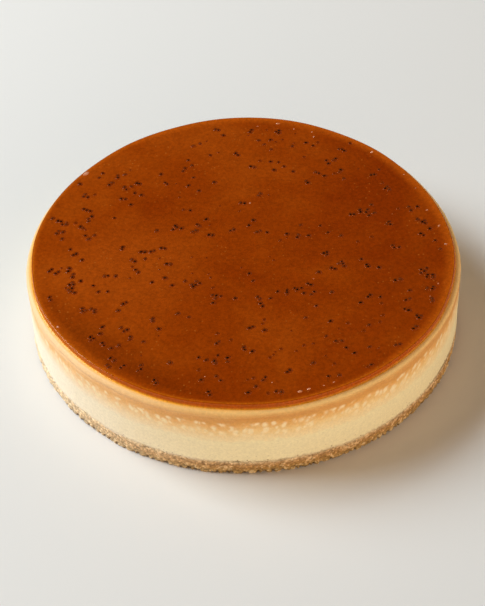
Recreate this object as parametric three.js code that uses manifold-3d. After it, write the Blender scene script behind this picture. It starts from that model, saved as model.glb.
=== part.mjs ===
// A whole round baked cheesecake, 24 cm across: a pressed biscuit crumb base, a baked cream filling
// with a browned band and a rounded shoulder, and a caramel glaze with poppy seeds set in its top.
// Millimetres, +Z up. The origin is the middle of the underside, and the side seen first faces -Y.
import * as THREE from 'three';
import { mergeVertices } from 'three/addons/utils/BufferGeometryUtils.js';
import Module from 'manifold-3d';

const wasm = await Module();
wasm.setup();

// Driving dimensions
const CAKE_RADIUS = 120;
const CRUMB_TOP = 9.5;
const SHOULDER_TOP = 47;
const SHOULDER_WIDTH = 2.9;
const SHOULDER_DROP = 2.4;
const CREASE_HEIGHT = 43.3;
const CREASE_TILT = 1.1;
const CREASE_DEPTH = 0.3;
const BROWNING_START = 28;
const GLAZE_RADIUS = 116.6;
const GLAZE_THICKNESS = 3.1;
const GLAZE_TOP = SHOULDER_TOP + GLAZE_THICKNESS;
const CRUMB_SIDES = 144;
const FILLING_SIDES = 108;
const GLAZE_SIDES = 96;
const DEGREE = Math.PI / 180;

// A row of random numbers from 0 to 1 by the minimal standard rule, the same from one run to the next
function randomRow(start) {
  let state = start;
  return () => {
    state = (state * 48271) % 2147483647;
    return state / 2147483647;
  };
}

// How far the tin is out of round: the radius is multiplied by this at each angle
const OUT_OF_ROUND = [
  { waves: 2, cosine: -0.0013, sine: -0.0052 },
  { waves: 3, cosine: -0.0019, sine: -0.0060 },
  { waves: 4, cosine: 0.0035, sine: -0.0017 },
];
function outline(angle) {
  let factor = 1;
  for (const term of OUT_OF_ROUND) {
    factor += term.cosine * Math.cos(term.waves * angle) + term.sine * Math.sin(term.waves * angle);
  }
  return factor;
}

// A profile of [radius, height] pairs turned about the Z axis, as a closed mesh of shared vertices.
// change(point, angle, row, column) then moves each vertex, given its own place in the grid.
function turned(profile, sides, change) {
  const points = profile.map(([radius, height]) => new THREE.Vector2(radius, height));
  const lathe = new THREE.LatheGeometry(points, sides);
  lathe.rotateX(Math.PI / 2);
  const places = lathe.attributes.position;
  const point = new THREE.Vector3();
  for (let index = 0; index < places.count; index += 1) {
    point.fromBufferAttribute(places, index);
    const row = index % profile.length;
    const column = Math.floor(index / profile.length) % sides;
    const angle = (column / sides) * 2 * Math.PI;
    const radius = Math.hypot(point.x, point.y) * outline(angle);
    point.set(radius * Math.cos(angle), radius * Math.sin(angle), point.z);
    change(point, angle, row, column);
    places.setXYZ(index, point.x, point.y, point.z);
  }
  return welded(lathe);
}

// The same surface with its shared vertices merged and its triangles of no area dropped
function welded(geometry) {
  geometry.deleteAttribute('normal');
  geometry.deleteAttribute('uv');
  const merged = mergeVertices(geometry, 1e-4);
  const corners = merged.index.array;
  const kept = [];
  for (let index = 0; index < corners.length; index += 3) {
    const [a, b, c] = [corners[index], corners[index + 1], corners[index + 2]];
    if (a !== b && b !== c && c !== a) kept.push(a, b, c);
  }
  merged.setIndex(kept);
  return merged;
}

// Moves a point along its own radius
function pushOut(point, distance) {
  const radius = Math.hypot(point.x, point.y);
  const scale = (radius + distance) / radius;
  point.x *= scale;
  point.y *= scale;
}

function toManifold(geometry) {
  return new wasm.Manifold(new wasm.Mesh({
    numProp: 3,
    vertProperties: new Float32Array(geometry.attributes.position.array),
    triVerts: new Uint32Array(geometry.index.array),
  }));
}

function fromManifold(solid) {
  const mesh = solid.getMesh();
  const geometry = new THREE.BufferGeometry();
  geometry.setAttribute('position', new THREE.BufferAttribute(mesh.vertProperties, 3));
  geometry.setIndex(new THREE.BufferAttribute(mesh.triVerts, 1));
  return geometry;
}

function piece(name, geometry, colour, roughness) {
  geometry.computeVertexNormals();
  const material = new THREE.MeshStandardMaterial({ color: colour, roughness, metalness: 0 });
  const mesh = new THREE.Mesh(geometry, material);
  mesh.name = name;
  return mesh;
}

// Crumb base: biscuit crumbs pressed in the tin, rough down the side, with notches under the rim
function crumbBase() {
  const footRadius = CAKE_RADIUS - 2.6;
  const relief = 0.45;
  const notchDepth = 1.3;
  const notchHeight = 1.1;
  const notchEvery = 2;
  const draw = randomRow(2024);
  const rim = [
    [footRadius, 0],
    [CAKE_RADIUS - 0.9, 0.25],
    [CAKE_RADIUS, 2.2],
    [CAKE_RADIUS, 5],
    [CAKE_RADIUS, 7.6],
    [CAKE_RADIUS - 0.2, CRUMB_TOP],
  ];
  const first = 1;
  const edge = first + 1;
  const last = first + rim.length - 1;
  const bumps = Array.from({ length: CRUMB_SIDES }, () => rim.map(() => (2 * draw() - 1) * relief));
  return turned([[0, 0], ...rim, [0, CRUMB_TOP]], CRUMB_SIDES, (point, angle, row, column) => {
    if (row <= first || row > last) return;
    const bump = bumps[column][row - first];
    const share = row === last ? 0.4 : 1;
    pushOut(point, bump * share);
    if (row === edge) {
      point.z += Math.abs(bump);
      if (column % notchEvery === 0 && bump < 0) {
        pushOut(point, -notchDepth * Math.abs(bump) / relief);
        point.z += notchHeight * Math.abs(bump) / relief;
      }
    }
  });
}

// Filling: a straight baked wall, a crease round it that climbs to the right, then a full shoulder
function cheeseFilling() {
  const wall = [
    [CAKE_RADIUS - 0.2, CRUMB_TOP],
    [CAKE_RADIUS, CRUMB_TOP + 1.5],
    [CAKE_RADIUS, BROWNING_START],
    [CAKE_RADIUS - 0.1, CREASE_HEIGHT - 5],
    [CAKE_RADIUS, CREASE_HEIGHT - 1.2],
    [CAKE_RADIUS - CREASE_DEPTH, CREASE_HEIGHT],
    [CAKE_RADIUS, CREASE_HEIGHT + 0.8],
  ];
  const shoulder = [0, 30, 60, 90].map((degrees) => [
    CAKE_RADIUS - SHOULDER_WIDTH * (1 - Math.cos(degrees * DEGREE)),
    SHOULDER_TOP - SHOULDER_DROP * (1 - Math.sin(degrees * DEGREE)),
  ]);
  const profile = [[0, CRUMB_TOP], ...wall, ...shoulder, [0, SHOULDER_TOP]];
  return turned(profile, FILLING_SIDES, (point, angle, row) => {
    if (row === 0 || row === profile.length - 1) return;
    const height = point.z;
    const below = THREE.MathUtils.clamp((height - BROWNING_START) / (CREASE_HEIGHT - BROWNING_START), 0, 1);
    const above = THREE.MathUtils.clamp((SHOULDER_TOP - height) / (SHOULDER_TOP - CREASE_HEIGHT), 0, 1);
    const turn = CREASE_TILT * Math.cos(angle) + 0.2 * Math.sin(5 * angle + 1);
    point.z += turn * Math.min(below, above);
    const onWall = height < SHOULDER_TOP - SHOULDER_DROP ? 1 : 0.5;
    const wave = 0.12 * Math.sin(7 * angle + 0.2 * height) + 0.1 * Math.sin(17 * angle - 0.1 * height + 2);
    if (height > CRUMB_TOP) pushOut(point, wave * onWall);
  });
}

// Glaze: a poured disc with a steep side and a small round edge, level on top
function glazeDisc() {
  const edgeRadius = 0.9;
  const edge = [20, 55, 90].map((degrees) => [
    GLAZE_RADIUS - edgeRadius * (1 - Math.cos(degrees * DEGREE)),
    GLAZE_TOP - edgeRadius * (1 - Math.sin(degrees * DEGREE)),
  ]);
  const profile = [
    [0, SHOULDER_TOP],
    [GLAZE_RADIUS - 0.25, SHOULDER_TOP],
    [GLAZE_RADIUS, SHOULDER_TOP + 0.6],
    ...edge,
    [0, GLAZE_TOP],
  ];
  return turned(profile, GLAZE_SIDES, (point, angle, row) => {
    if (row === 0 || row === profile.length - 1) return;
    pushOut(point, 0.15 * Math.sin(9 * angle + 1) + 0.12 * Math.sin(14 * angle + 3));
  });
}

// Where the poppy seeds lie in clumps: the middle of each clump, how far it reaches and its seeds
const CLUMPS = [
  [-13, 107, 1.5, 2], [-9, 101, 0, 1], [-23, 94, 0, 1], [-27, 92, 0, 1], [-17, 83, 1, 1],
  [-1, 83, 1.4, 2], [-30, 79, 0, 1], [-28, 74, 0, 1], [-32, 71, 1.2, 2], [-27, 63, 0, 1],
  [-46, 67, 0, 1], [-43, 59, 1.8, 2], [-30, 56, 0, 1], [-15, 58, 0, 1], [-24, 51, 0, 1], [-80, 70, 0, 1],
  [-82, 66, 0, 1], [-71, 67, 1.2, 2], [-67, 68, 0, 1], [-75, 60, 1.3, 2], [-67, 56, 1.3, 2],
  [-63, 57, 0, 1], [-59, 60, 1.6, 2], [-61, 51, 0, 1], [-57, 49, 0, 1], [-67, 46, 1.3, 2],
  [-63, 41, 0, 1], [-93, 61, 0, 1], [-89, 51, 2.4, 3], [-88, 38, 2, 3], [-85, 32, 0, 1],
  [-87, 29, 1.3, 2], [-108, 32, 0, 1], [-104, 29, 1.3, 2], [-101, 26, 2, 2], [-102, 20, 1.5, 2],
  [-104, 18, 1.2, 1], [-101, 14, 0, 1], [-90, 23, 1.3, 2], [-88, 16, 0, 1], [-83, 16, 0, 1],
  [-86, 13, 0, 1], [-72, 30, 0, 1], [-48, 18, 0, 1], [-37, 20, 1.8, 3], [-34, 19, 0, 1],
  [-24, 21, 1.2, 2], [-20, 26, 0, 1], [-27, 16, 1.3, 2], [-18, 12, 2.4, 2], [-5, 16, 1.2, 2],
  [-29, 34, 0, 1], [1, 38, 1.8, 2], [-96, 5, 0, 1], [-94, 0, 1.3, 2], [-67, 3, 1.6, 2], [-55, 1, 1.6, 2],
  [-50, 1, 1.6, 2], [-44, 2, 1.8, 2], [-89, -4, 0, 1], [-96, -11, 1.4, 2], [-107, -12, 1.3, 2],
  [-102, -13, 1.3, 2], [-94, -17, 1.2, 2], [-89, -21, 0, 1], [-94, -23, 1.9, 3], [-94, -28, 2, 3],
  [-92, -30, 0, 1], [-106, -34, 1.8, 2], [-76, -18, 1.3, 2], [-70, -18, 0, 1], [-82, -25, 0, 1],
  [-79, -30, 0, 1], [-74, -30, 0, 1], [-64, -39, 1.3, 2], [-86, -44, 2, 3], [-82, -44, 2, 3],
  [-68, -45, 0, 1], [-60, -6, 1.5, 2], [-54, -5, 0, 1], [-59, -14, 1.8, 2], [-41, -10, 1.4, 2],
  [-43, -21, 0, 1], [-50, -24, 0, 1], [-39, -27, 0, 1], [-32, -24, 0, 1], [-26, -27, 2.6, 5],
  [-15, -37, 2.2, 4], [-17, -42, 0, 1], [-5, -39, 0, 1], [-36, -49, 0, 1], [-30, -52, 0, 1],
  [-49, -54, 1.2, 2], [-46, -60, 0, 1], [-76, -57, 0, 1], [-77, -62, 0, 1], [-82, -66, 1.8, 3],
  [-75, -70, 1.2, 2], [-71, -73, 0, 1], [-67, -71, 0, 1], [-66, -58, 0, 1], [-64, -61, 1.3, 2],
  [-61, -66, 1.3, 2], [-54, -69, 0, 1], [-71, -80, 0, 1], [-69, -82, 0, 1], [-73, -86, 1.4, 2],
  [-64, -86, 1.6, 2], [-55, -86, 0, 1], [-56, -89, 1.4, 2], [-40, -85, 0, 1], [-48, -98, 1.4, 2],
  [-15, -72, 1.3, 2], [-1, -77, 1.2, 2], [-25, -82, 0, 1], [-21, -84, 0, 1], [-15, -81, 0, 1],
  [-17, -86, 1.2, 2], [-10, -83, 0, 1], [-10, -86, 0, 1], [-24, -98, 0, 1], [-15, -97, 2, 2],
  [-20, -107, 1.3, 2], [0, -108, 0, 1], [7, 104, 1.4, 2], [24, 103, 1.7, 3], [12, 95, 0, 1],
  [15, 91, 0, 1], [19, 95, 0, 1], [19, 86, 0, 1], [32, 88, 1.2, 1], [40, 91, 0, 1], [44, 88, 0, 1],
  [60, 84, 1.2, 2], [62, 82, 1, 1], [66, 89, 0, 1], [56, 75, 1.2, 2], [52, 71, 0, 1], [51, 74, 0, 1],
  [19, 75, 1.2, 1], [23, 74, 0, 1], [8, 71, 1.2, 2], [20, 67, 0, 1], [26, 70, 0, 1], [31, 65, 0, 1],
  [45, 63, 1.2, 2], [49, 60, 0, 1], [59, 65, 1.2, 2], [60, 57, 0, 1], [38, 56, 1.2, 2], [81, 64, 0, 1],
  [77, 60, 1.2, 2], [84, 47, 1.7, 3], [11, 45, 1.6, 2], [63, 26, 1.2, 2], [67, 29, 1.4, 2],
  [71, 28, 1.4, 2], [74, 33, 0, 1], [75, 26, 0, 1], [72, 24, 0, 1], [95, 30, 0, 1], [96, 27, 0, 1],
  [100, 30, 0, 1], [82, 17, 1.7, 3], [99, 19, 0, 1], [102, 17, 1.7, 3], [105, 11, 0, 1],
  [101, 6, 1.2, 2], [107, 1, 0, 1], [84, -3, 1.8, 3], [7, 23, 1.2, 1], [4, 19, 1.2, 1], [9, 14, 1.2, 2],
  [14, 13, 0, 1], [25, 11, 0, 1], [31, 9, 1.2, 2], [37, 9, 0, 1], [33, 18, 0, 1], [44, 17, 0, 1],
  [48, 11, 0, 1], [55, 8, 0, 1], [109, -6, 0, 1], [46, -7, 1.7, 3], [53, -15, 1.7, 3], [55, -17, 0, 1],
  [48, -18, 0, 1], [50, -19, 0, 1], [41, -21, 0, 1], [65, -12, 0, 1], [68, -17, 1.2, 2], [74, -19, 0, 1],
  [3, -20, 0, 1], [5, -26, 1.2, 1], [97, -24, 1.9, 3], [100, -21, 0, 1], [99, -27, 1.2, 2],
  [102, -27, 1.2, 2], [82, -29, 1, 1], [84, -29, 1, 1], [35, -30, 1.2, 2], [31, -33, 0, 1],
  [28, -34, 1.2, 2], [23, -35, 1.2, 2], [18, -35, 0, 1], [32, -37, 0, 1], [36, -38, 1.2, 2],
  [47, -37, 0, 1], [14, -40, 0, 1], [8, -40, 1.6, 2], [10, -45, 1.8, 2], [38, -47, 1.2, 1],
  [32, -56, 1.2, 1], [45, -59, 0, 1], [89, -38, 0, 1], [98, -37, 1.2, 1], [102, -37, 1.2, 2],
  [87, -45, 1.2, 2], [100, -46, 1.3, 2], [67, -41, 1.2, 2], [73, -42, 1.2, 1], [62, -46, 0, 1],
  [85, -52, 0, 1], [87, -53, 0, 1], [92, -59, 1.4, 3], [89, -67, 1.2, 2], [65, -63, 0, 1],
  [2, -62, 1.4, 2], [10, -64, 0, 1], [42, -70, 0, 1], [47, -74, 0, 1], [50, -74, 0, 1], [3, -79, 0, 1],
  [52, -79, 0, 1], [56, -83, 0, 1], [64, -79, 0, 1], [80, -79, 1.6, 2], [34, -89, 0, 1],
  [21, -94, 1.2, 2], [65, -92, 0, 1], [9, -98, 1.2, 2], [4, -104, 0, 1], [15, -108, 1.2, 2],
  [42, -98, 1, 1], [47, -98, 1, 1],
];
const SEED_ROOM = GLAZE_RADIUS - 4.5;
const SEED_SPACING = 1.7;
const SEED_SMALLEST = 0.62;
const SEED_LARGEST = 0.86;
const SEED_SIDES = 5;
const SEED_BANDS = 3;
const REACH_GROWTH = 0.05;

// Two draws added make a seed likelier near the clump's middle. One too close to another is drawn
// again, and the clump's reach grows a little each time, so that there is always a place.
function seedPlaces(draw) {
  const placed = [];
  for (const [middleX, middleY, firstReach, seeds] of CLUMPS) {
    let reach = firstReach;
    let wanted = seeds;
    while (wanted > 0) {
      const x = middleX + reach * (draw() + draw() - 1);
      const y = middleY + reach * (draw() + draw() - 1);
      const clear = placed.every((other) => Math.hypot(x - other.x, y - other.y) > SEED_SPACING);
      if (clear && Math.hypot(x, y) < SEED_ROOM) {
        placed.push({ x, y });
        wanted -= 1;
      } else {
        reach += REACH_GROWTH;
      }
    }
  }
  return placed;
}

// A poppy seed is a little longer than wide, and sunk to just over its middle
function poppySeed(place, draw) {
  const half = SEED_SMALLEST + draw() * (SEED_LARGEST - SEED_SMALLEST);
  const seed = new THREE.SphereGeometry(1, SEED_SIDES, SEED_BANDS);
  seed.rotateX(Math.PI / 2);
  seed.scale(half * 1.12, half * 0.92, half * 0.8);
  seed.rotateZ(draw() * Math.PI);
  seed.translate(place.x, place.y, GLAZE_TOP - half * 0.1);
  return welded(seed);
}

function glazeWithSeeds() {
  const draw = randomRow(77);
  let glaze = toManifold(glazeDisc());
  for (const place of seedPlaces(draw)) glaze = glaze.add(toManifold(poppySeed(place, draw)));
  return fromManifold(glaze);
}

const cheesecake = new THREE.Group();
cheesecake.add(piece('crumb_base', crumbBase(), 0xa9763f, 0.9));
cheesecake.add(piece('cheese_filling', cheeseFilling(), 0xeccf9a, 0.6));
cheesecake.add(piece('caramel_glaze', glazeWithSeeds(), 0x8c3804, 0.25));

export default cheesecake;
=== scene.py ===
import math

import bpy
import numpy as np
from mathutils import Matrix, Vector


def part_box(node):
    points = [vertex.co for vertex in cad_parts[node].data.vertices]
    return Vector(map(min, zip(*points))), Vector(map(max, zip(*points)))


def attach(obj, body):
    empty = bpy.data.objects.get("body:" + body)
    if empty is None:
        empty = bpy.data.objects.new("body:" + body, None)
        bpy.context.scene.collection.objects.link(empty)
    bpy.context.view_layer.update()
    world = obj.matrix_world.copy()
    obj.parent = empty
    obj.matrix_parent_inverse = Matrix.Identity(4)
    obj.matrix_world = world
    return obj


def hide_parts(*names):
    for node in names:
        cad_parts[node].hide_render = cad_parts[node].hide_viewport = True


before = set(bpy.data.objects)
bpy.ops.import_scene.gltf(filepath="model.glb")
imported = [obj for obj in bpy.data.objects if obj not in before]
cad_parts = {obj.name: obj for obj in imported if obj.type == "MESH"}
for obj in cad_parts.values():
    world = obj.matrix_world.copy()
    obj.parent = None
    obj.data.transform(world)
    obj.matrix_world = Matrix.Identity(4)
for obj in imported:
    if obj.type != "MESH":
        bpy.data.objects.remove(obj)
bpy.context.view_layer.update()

# Camera and table top: the cheesecake stands on a plain pale surface, seen from the front and from
# 45 degrees above, about a metre away, through a lens of some 100 mm.
MM = 0.001
PHOTO_HEIGHT_PX = 606
FOCAL_LENGTH_PX = 1667
SENSOR_MM = 36
CAMERA_DISTANCE = 960 * MM
CAMERA_ELEVATION = math.radians(44.74)
CAMERA_YAW = math.radians(0.07)
CAMERA_PITCH = math.radians(0.35)
CAMERA_ROLL = math.radians(-2.17)

camera_place = Vector((0, -math.cos(CAMERA_ELEVATION), math.sin(CAMERA_ELEVATION))) * CAMERA_DISTANCE
aim = (-camera_place).to_track_quat("-Z", "Y").to_matrix().to_4x4()
turn = (Matrix.Rotation(CAMERA_YAW, 4, "Y") @ Matrix.Rotation(CAMERA_PITCH, 4, "X")
        @ Matrix.Rotation(CAMERA_ROLL, 4, "Z"))
camera_data = bpy.data.cameras.new("camera")
camera_data.sensor_width = SENSOR_MM
camera_data.lens = FOCAL_LENGTH_PX / PHOTO_HEIGHT_PX * SENSOR_MM
camera = bpy.data.objects.new("camera", camera_data)
camera.matrix_world = Matrix.Translation(camera_place) @ aim @ turn
scene = bpy.context.scene
scene.collection.objects.link(camera)
scene.camera = camera
scene.view_settings.view_transform = "Standard"


def linear(hex_colour):
    """An sRGB hex colour such as "#8c3804" as linear red, green, blue and an alpha of 1."""
    values = [int(hex_colour[i:i + 2], 16) / 255 for i in (1, 3, 5)]
    return [v / 12.92 if v <= 0.04045 else ((v + 0.055) / 1.055) ** 2.4 for v in values] + [1]


def add_node(tree, kind, settings=None, inputs=None):
    """Adds a node, makes its settings, then fills its inputs: a socket is linked, all else is a value.
    The setting "stops" gives a colour ramp its pairs of position and hex colour."""
    node = tree.nodes.new(kind)
    for key, value in (settings or {}).items():
        if key == "stops":
            elements = node.color_ramp.elements
            while len(elements) < len(value):
                elements.new(1)
            for element, (position, colour) in zip(elements, value):
                element.position = position
                element.color = linear(colour)
        else:
            setattr(node, key, value)
    for key, value in (inputs or {}).items():
        if isinstance(value, bpy.types.NodeSocket):
            tree.links.new(value, node.inputs[key])
        else:
            node.inputs[key].default_value = value
    return node


def new_material(name):
    """A material with an empty node tree, and its output node."""
    material = bpy.data.materials.new(name)
    material.use_nodes = True
    material.node_tree.nodes.clear()
    return material, material.node_tree, material.node_tree.nodes.new("ShaderNodeOutputMaterial")


FLOOR_HALF = 3.0
floor_mesh = bpy.data.meshes.new("floor")
floor_mesh.from_pydata(
    [(x * FLOOR_HALF, y * FLOOR_HALF, 0) for x, y in ((-1, -1), (1, -1), (1, 1), (-1, 1))],
    [], [(0, 1, 2, 3)])
floor = bpy.data.objects.new("floor", floor_mesh)
scene.collection.objects.link(floor)

# Matt white paint on board: even, with no shine.
floor_paint, tree, output = new_material("matt_white_paint")
shader = add_node(tree, "ShaderNodeBsdfPrincipled", inputs={
    "Base Color": linear("#e5e0da"), "Roughness": 0.9, "Specular IOR Level": 0.2})
tree.links.new(shader.outputs[0], output.inputs["Surface"])
floor_mesh.materials.append(floor_paint)

# Light: a large window on the left, a little behind, whose daylight is cooler than the room. A warm
# room stands low round the other side, brightest in front on the right and dark behind the window,
# so that it lights the walls of the cheesecake and the level glaze mirrors next to nothing of it.
KEY_AZIMUTH = math.radians(160)
KEY_ELEVATION = math.radians(41)
KEY_DISTANCE = 2.8
KEY_SIZE = 1.71
KEY_POWER = 111.0
KEY_COLOUR = (0.82, 0.925, 1.0)
key_data = bpy.data.lights.new("window", "AREA")
key_data.shape = "SQUARE"
key_data.size = KEY_SIZE
key_data.energy = KEY_POWER
key_data.color = KEY_COLOUR
key = bpy.data.objects.new("window", key_data)
key_place = Vector((math.cos(KEY_AZIMUTH) * math.cos(KEY_ELEVATION),
                    math.sin(KEY_AZIMUTH) * math.cos(KEY_ELEVATION),
                    math.sin(KEY_ELEVATION))) * KEY_DISTANCE
key_aim = (-key_place).to_track_quat("-Z", "Y").to_matrix().to_4x4()
key.matrix_world = Matrix.Translation(key_place) @ key_aim
scene.collection.objects.link(key)

ROOM_AZIMUTH = math.radians(-50)
ROOM_COLOUR = (0.272, 0.216, 0.16, 1)
ROOM_LEVEL = 12.2
ROOM_FALL_WITH_HEIGHT = 1.5


def toward(azimuth, radius):
    """A level vector whose dot product with a place is 1 at this azimuth and radius, 0 at right angles."""
    return (math.cos(azimuth) / radius, math.sin(azimuth) / radius, 0)


world = bpy.data.worlds.new("room")
world.use_nodes = True
scene.world = world
tree = world.node_tree
tree.nodes.clear()
direction = add_node(tree, "ShaderNodeTexCoord").outputs["Generated"]
facing = add_node(tree, "ShaderNodeVectorMath", {"operation": "DOT_PRODUCT"}, {
    0: direction, 1: toward(ROOM_AZIMUTH, 1)})
share = add_node(tree, "ShaderNodeMath", {"operation": "MULTIPLY_ADD"}, {
    0: facing.outputs["Value"], 1: 0.5, 2: 0.5})
squared = add_node(tree, "ShaderNodeMath", {"operation": "POWER"}, {0: share.outputs[0], 1: 2.0})
height = add_node(tree, "ShaderNodeSeparateXYZ", inputs={0: direction}).outputs["Z"]
low = add_node(tree, "ShaderNodeMath", {"operation": "SUBTRACT"}, {0: 1.0, 1: height})
fallen = add_node(tree, "ShaderNodeMath", {"operation": "POWER"}, {
    0: low.outputs[0], 1: ROOM_FALL_WITH_HEIGHT})
shaped = add_node(tree, "ShaderNodeMath", {"operation": "MULTIPLY"}, {
    0: squared.outputs[0], 1: fallen.outputs[0]})
level = add_node(tree, "ShaderNodeMath", {"operation": "MULTIPLY"}, {0: shaped.outputs[0], 1: ROOM_LEVEL})
background = add_node(tree, "ShaderNodeBackground", inputs={
    "Color": ROOM_COLOUR, "Strength": level.outputs[0]})
add_node(tree, "ShaderNodeOutputWorld", inputs={"Surface": background.outputs[0]})

# Crumb base: crushed biscuits bound with butter and pressed flat in the tin. Its side is a face of
# broken crumbs, with gaps along the foot where the crumbs have crumbled away, painted dark as shade.
CAKE_RADIUS = 120 * MM
CRUMB_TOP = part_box("cheese_filling")[0][2]
CRUMB_COLUMNS = 1500
CRUMB_ROWS = 26
TIN_WAVES = [(2, -0.0013, -0.0052), (3, -0.0019, -0.0060), (4, 0.0035, -0.0017)]
LINE_RAGGEDNESS = 1.3 * MM
LINE_NOISES = [(0.45, 110, 31), (0.35, 260, 32), (0.2, 620, 33)]
COARSE_CRUMBS_ROUND = 310
COARSE_CRUMB_HEIGHT = 2.1 * MM
COARSE_RELIEF = 0.5 * MM
FINE_CRUMBS_ROUND = 700
FINE_CRUMB_HEIGHT = 0.95 * MM
FINE_RELIEF = 0.4 * MM
CRUMB_REACH = 0.8
WAVE_RELIEF = 0.3 * MM
WAVE_HEIGHT = 6 * MM
RELIEF_SET_BACK = 0.35 * MM
FOOT_TURN_IN = 0.45 * MM
FOOT_TURN_HEIGHT = 1.2 * MM
LID_TURN_IN = 0.05 * MM
LID_DROP = 1.2 * MM
GAPS = 170
GAP_HALF_WIDTHS = (0.7 * MM, 1.7 * MM)
GAP_HEIGHTS = (1.7 * MM, 3.3 * MM)
GAP_RECESS = 0.9 * MM
FOOT_SHADOW_HEIGHT = 0.6 * MM
WINDOW_SIDE_AZIMUTH = math.radians(205)
ROWS_BELOW_ZERO = 8


def out_of_round(angle):
    """The tin's radius at each angle, as a factor: 1 plus small waves of two, three and four turns, each
    a share of a cosine and a share of a sine."""
    return 1 + sum(a * np.cos(n * angle) + b * np.sin(n * angle) for n, a, b in TIN_WAVES)


def soft_noise(angle, height, around, cell_height, seed):
    """Smooth noise from -1 to 1: random values on a lattice that closes round the cake, with smooth
    steps between neighbours. around is the number of cells in a turn, cell_height is in metres."""
    column = angle / (2 * math.pi) * around
    row = height / cell_height + ROWS_BELOW_ZERO
    table = np.random.default_rng(seed).uniform(-1, 1, (around, int(row.max()) + 3))
    c0 = np.floor(column).astype(int)
    r0 = np.floor(row).astype(int)
    fc = column - c0
    fr = row - r0
    fc = fc * fc * (3 - 2 * fc)
    fr = fr * fr * (3 - 2 * fr)
    c0 = c0 % around
    c1 = (c0 + 1) % around
    low = table[c0, r0] * (1 - fc) + table[c1, r0] * fc
    high = table[c0, r0 + 1] * (1 - fc) + table[c1, r0 + 1] * fc
    return low * (1 - fr) + high * fr


def grains(angle, height, around, cell_height, seed):
    """Cell noise: one point at random in each cell of a lattice that closes round the cake. Gives each
    place its distance in cells to the nearest point, and that point's own number from 0 to 1."""
    column = angle / (2 * math.pi) * around
    row = height / cell_height + ROWS_BELOW_ZERO
    table = np.random.default_rng(seed).uniform(0, 1, (around, int(row.max()) + 4, 3))
    c0 = np.floor(column).astype(int)
    r0 = np.floor(row).astype(int)
    nearest = np.full(column.shape, np.inf)
    number = np.zeros(column.shape)
    for step_c in (-1, 0, 1):
        for step_r in (-1, 0, 1):
            cell = table[(c0 + step_c) % around, r0 + step_r]
            distance = np.hypot(c0 + step_c + cell[..., 0] - column, r0 + step_r + cell[..., 1] - row)
            closer = distance < nearest
            number = np.where(closer, cell[..., 2], number)
            nearest = np.where(closer, distance, nearest)
    return nearest, number


def skin_faces(rows, columns):
    """Quads between rows of numbered points that run upwards and close round, and a fan of triangles at
    each end, to a point under the first row and one over the last that are numbered after all others."""
    index = np.arange(rows * columns).reshape(rows, columns)
    after = np.roll(index, -1, axis=1)
    quads = np.stack([index[:-1], after[:-1], after[1:], index[1:]], axis=-1).reshape(-1, 4)
    bottom = np.full(columns, rows * columns)
    fans = np.vstack([np.stack([bottom, after[0], index[0]], axis=-1),
                      np.stack([bottom + 1, index[-1], after[-1]], axis=-1)])
    return quads, fans


def new_piece(name, vertices, faces):
    """A smooth piece at the origin, with its vertices in metres where they belong in the cheesecake."""
    mesh = bpy.data.meshes.new(name)
    mesh.from_pydata(vertices.tolist(), [], faces)
    mesh.polygons.foreach_set("use_smooth", np.ones(len(mesh.polygons), bool))
    mesh.update()
    piece = bpy.data.objects.new(name, mesh)
    scene.collection.objects.link(piece)
    return piece


def store_numbers(piece, name, numbers):
    """Keeps one number for each vertex of a piece, for its material to read by name."""
    attribute = piece.data.attributes.new(name, "FLOAT", "POINT")
    attribute.data.foreach_set("value", numbers.astype(np.float32))


def closed_skin(name, points, values):
    """A skin through rows of points that run upwards and close round, with fans from the middles of the
    first row and the last. values holds an array of numbers for each name that the material reads."""
    rows, columns, _ = points.shape
    vertices = np.vstack([points.reshape(-1, 3), points[0].mean(0), points[-1].mean(0)])
    quads, fans = skin_faces(rows, columns)
    piece = new_piece(name, vertices, quads.tolist() + fans.tolist())
    for key, numbers in values.items():
        ends = [numbers[0].mean(), numbers[-1].mean()]
        store_numbers(piece, key, np.append(numbers.ravel(), ends))
    return piece


def place_rows(angle, radius, height):
    """Points from an angle for each column and a radius and height for each row and column."""
    return np.stack([radius * np.cos(angle), radius * np.sin(angle), height], axis=-1)


def crumb_line(angle):
    """The height of the ragged line where the crumbs end and the filling starts, at each angle: soft
    noise of three sizes added."""
    ragged = sum(part * soft_noise(angle, 0 * angle, around, 1, seed) for part, around, seed in LINE_NOISES)
    return CRUMB_TOP + LINE_RAGGEDNESS * ragged


angle = np.linspace(0, 2 * math.pi, CRUMB_COLUMNS, endpoint=False)[None, :]
share = np.linspace(0, 1, CRUMB_ROWS)[:, None]
height = share * crumb_line(angle)
turns = angle + 0 * height
coarse, coarse_number = grains(turns, height, COARSE_CRUMBS_ROUND, COARSE_CRUMB_HEIGHT, 41)
fine, fine_number = grains(turns, height, FINE_CRUMBS_ROUND, FINE_CRUMB_HEIGHT, 42)
coarse_dome = np.clip(1 - coarse / CRUMB_REACH, 0, 1)
fine_dome = np.clip(1 - fine / CRUMB_REACH, 0, 1)
relief = (COARSE_RELIEF * coarse_dome * (0.4 + coarse_number) + FINE_RELIEF * fine_dome * (0.3 + fine_number)
          + WAVE_RELIEF * soft_noise(turns, height, 90, WAVE_HEIGHT, 43) - RELIEF_SET_BACK)
gap_draws = np.random.default_rng(44).uniform(0, 1, (GAPS, 3))
gap_angle = (np.arange(GAPS) + gap_draws[:, 0])[:, None] / GAPS * 2 * math.pi
gap_distance = np.abs((angle - gap_angle + math.pi) % (2 * math.pi) - math.pi) * CAKE_RADIUS
gap_half = np.interp(gap_draws[:, 1:2], (0, 1), GAP_HALF_WIDTHS)
gap_height = np.interp(gap_draws[:, 2:3], (0, 1), GAP_HEIGHTS)
gap_across = 1.4 * (1 - gap_distance / gap_half)
gap_climb = 1.3 * (1 - height[None] / gap_height[:, :, None])
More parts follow.
